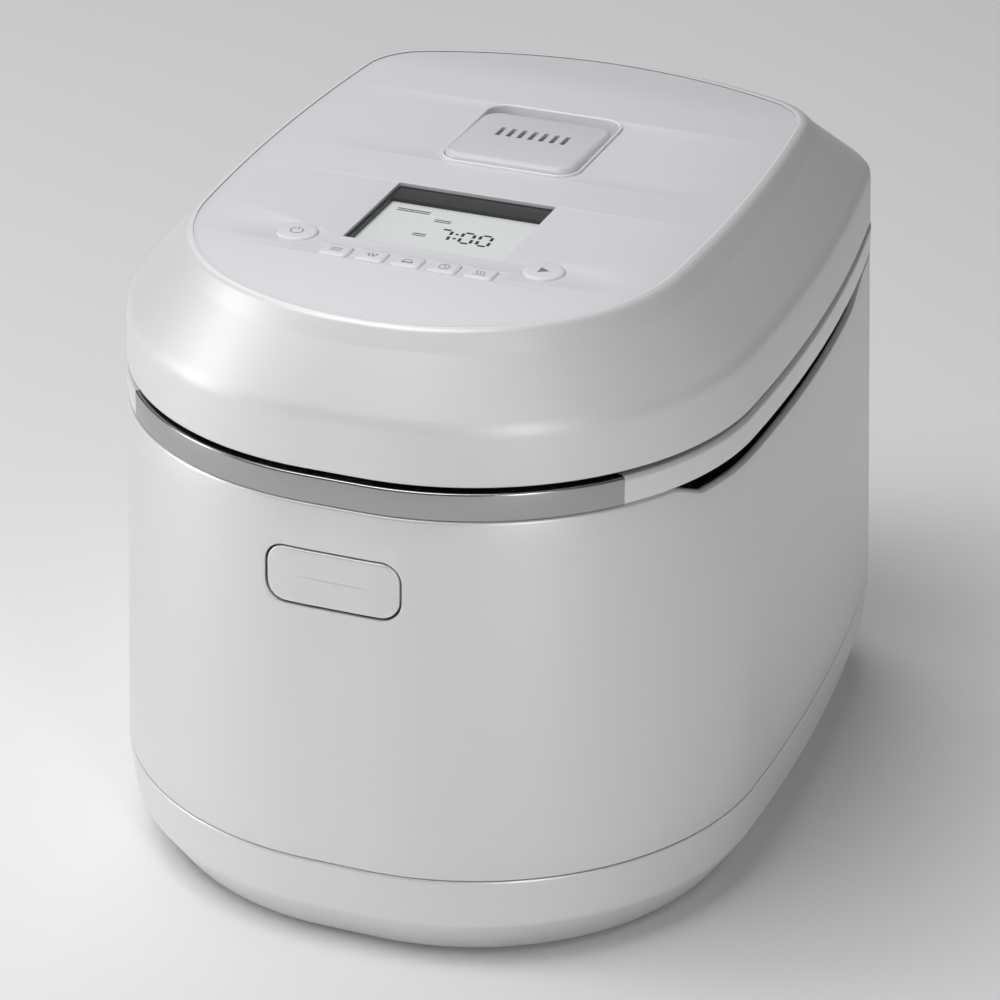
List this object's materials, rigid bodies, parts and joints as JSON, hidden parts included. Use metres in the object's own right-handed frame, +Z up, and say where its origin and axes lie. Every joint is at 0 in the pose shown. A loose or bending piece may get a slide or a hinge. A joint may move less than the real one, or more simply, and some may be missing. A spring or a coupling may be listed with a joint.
{
  "type": "rice cooker",
  "caption": "Table-top gas rice cooker with a hinged lid, push-button latch, display, keys, lift-off steam cap, side grips, pot and burner.",
  "frame": {"origin": "middle of the bounding box on the surface the feet stand on", "axes": "+Z up, +Y towards the rear, so the display and open button face -Y; +X to the right seen from the front"},
  "size_m": [0.2492, 0.328, 0.2488],
  "materials": {
    "white_body": "satin white moulded plastic",
    "white_lid": "gloss white moulded plastic",
    "panel": "satin pale grey sheet",
    "white_cap": "satin white plastic",
    "white_key": "white translucent key",
    "silver_band": "silver metallic paint on plastic",
    "black_plastic": "fine-grained black plastic",
    "steel": "zinc-plated sheet steel",
    "bright_steel": "bright steel",
    "dark_rubber": "moulded rubber",
    "silicone": "translucent grey silicone",
    "pot_coating": "dark non-stick coating",
    "cast_metal": "enamelled cast iron",
    "burner_metal": "die-cast aluminium",
    "aluminium": "spun aluminium",
    "ceramic": "glazed ceramic",
    "valve_metal": "die-cast zinc",
    "brass": "turned brass",
    "circuit_board": "solder-masked board",
    "clear_window": "clear flush window",
    "lcd": "grey liquid crystal cell",
    "insulation": "pressed fibre mat"
  },
  "bodies": {
    "body": {"base_ring": "white_body", "bottom_plate": "steel", "rubber_feet": "dark_rubber", "base_screws": "bright_steel", "outer_body": "white_body", "grip_pocket_left": "black_plastic", "grip_pocket_right": "black_plastic", "front_band": "silver_band", "handle_left": "silver_band", "handle_right": "silver_band", "rear_cover": "white_body", "top_deck": "black_plastic", "inner_pot": "pot_coating", "heat_chamber": "steel", "heat_shield": "steel", "drip_tray": "bright_steel", "pot_trivet": "cast_metal", "burner_body": "burner_metal", "burner_head": "burner_metal", "sensor_spring": "bright_steel", "ignition_electrode": "ceramic", "flame_sensor": "ceramic", "gas_valve": "valve_metal", "gas_injector": "brass", "gas_pipe": "aluminium", "gas_connector": "brass", "mains_gland": "dark_rubber", "power_board": "circuit_board", "igniter_unit": "black_plastic", "latch_bracket": "steel", "latch_pin": "bright_steel", "latch_spring": "bright_steel", "hinge_brackets": "steel", "hinge_pin": "bright_steel", "hinge_spring": "bright_steel"},
    "lid": {"lid_shell": "white_lid", "top_panel": "panel", "lcd_window": "clear_window", "lcd_module": "lcd", "control_board": "circuit_board", "steam_housing": "white_cap", "steam_duct": "silicone", "lid_inner_frame": "steel", "lid_insulation": "insulation", "inner_lid": "aluminium", "inner_lid_gasket": "silicone", "lid_catch": "steel", "lid_hinge_arms": "steel"},
    "open_button": {"open_button": "white_body"},
    "latch": {"latch_lever": "steel"},
    "steam_cap": {"steam_cap": "white_cap"},
    "sensor": {"sensor_cap": "aluminium"},
    "key_menu": {"key_menu": "white_key"},
    "key_texture": {"key_texture": "white_key"},
    "key_crust": {"key_crust": "white_key"},
    "key_timer": {"key_timer": "white_key"},
    "key_keep_warm": {"key_keep_warm": "white_key"},
    "key_cancel": {"key_cancel": "white_key"},
    "key_cook": {"key_cook": "white_key"}
  },
  "joints": [
    {"name": "lid_hinge", "type": "hinge", "parent": "body", "child": "lid", "pos_m": [0, 0.146, 0.184], "axis": [-1, 0, 0], "range_deg": [0, 85]},
    {"name": "open_button_push", "type": "slide", "parent": "body", "child": "open_button", "axis": [0, 1, 0], "range_m": [0, 0.003], "stiffness_N_per_m": 500, "springref_m": -0.002},
    {"name": "latch_swing", "type": "hinge", "parent": "body", "child": "latch", "pos_m": [0, -0.1495, 0.165], "axis": [1, 0, 0], "range_deg": [0, 15]},
    {"name": "steam_cap_lift", "type": "slide", "parent": "lid", "child": "steam_cap", "axis": [0, 0, 1], "range_m": [0, 0.03]},
    {"name": "sensor_plunge", "type": "slide", "parent": "body", "child": "sensor", "axis": [0, 0, -1], "range_m": [0, 0.003], "stiffness_N_per_m": 300, "springref_m": -0.003, "deforming": ["sensor_spring"]},
    {"name": "key_menu_press", "type": "slide", "parent": "lid", "child": "key_menu", "axis": [0, 0, -1], "range_m": [0, 0.0005], "stiffness_N_per_m": 1500, "springref_m": -0.0005},
    {"name": "key_texture_press", "type": "slide", "parent": "lid", "child": "key_texture", "axis": [0, 0, -1], "range_m": [0, 0.0005], "stiffness_N_per_m": 1500, "springref_m": -0.0005},
    {"name": "key_crust_press", "type": "slide", "parent": "lid", "child": "key_crust", "axis": [0, 0, -1], "range_m": [0, 0.0005], "stiffness_N_per_m": 1500, "springref_m": -0.0005},
    {"name": "key_timer_press", "type": "slide", "parent": "lid", "child": "key_timer", "axis": [0, 0, -1], "range_m": [0, 0.0005], "stiffness_N_per_m": 1500, "springref_m": -0.0005},
    {"name": "key_keep_warm_press", "type": "slide", "parent": "lid", "child": "key_keep_warm", "axis": [0, 0, -1], "range_m": [0, 0.0005], "stiffness_N_per_m": 1500, "springref_m": -0.0005},
    {"name": "key_cancel_press", "type": "slide", "parent": "lid", "child": "key_cancel", "axis": [0, 0, -1], "range_m": [0, 0.0005], "stiffness_N_per_m": 1500, "springref_m": -0.0005},
    {"name": "key_cook_press", "type": "slide", "parent": "lid", "child": "key_cook", "axis": [0, 0, -1], "range_m": [0, 0.0005], "stiffness_N_per_m": 1500, "springref_m": -0.0005}
  ],
  "couplings": [
    {"joint": "latch_swing", "follows": "open_button_push", "rad_per_m": 83.333}
  ]
}
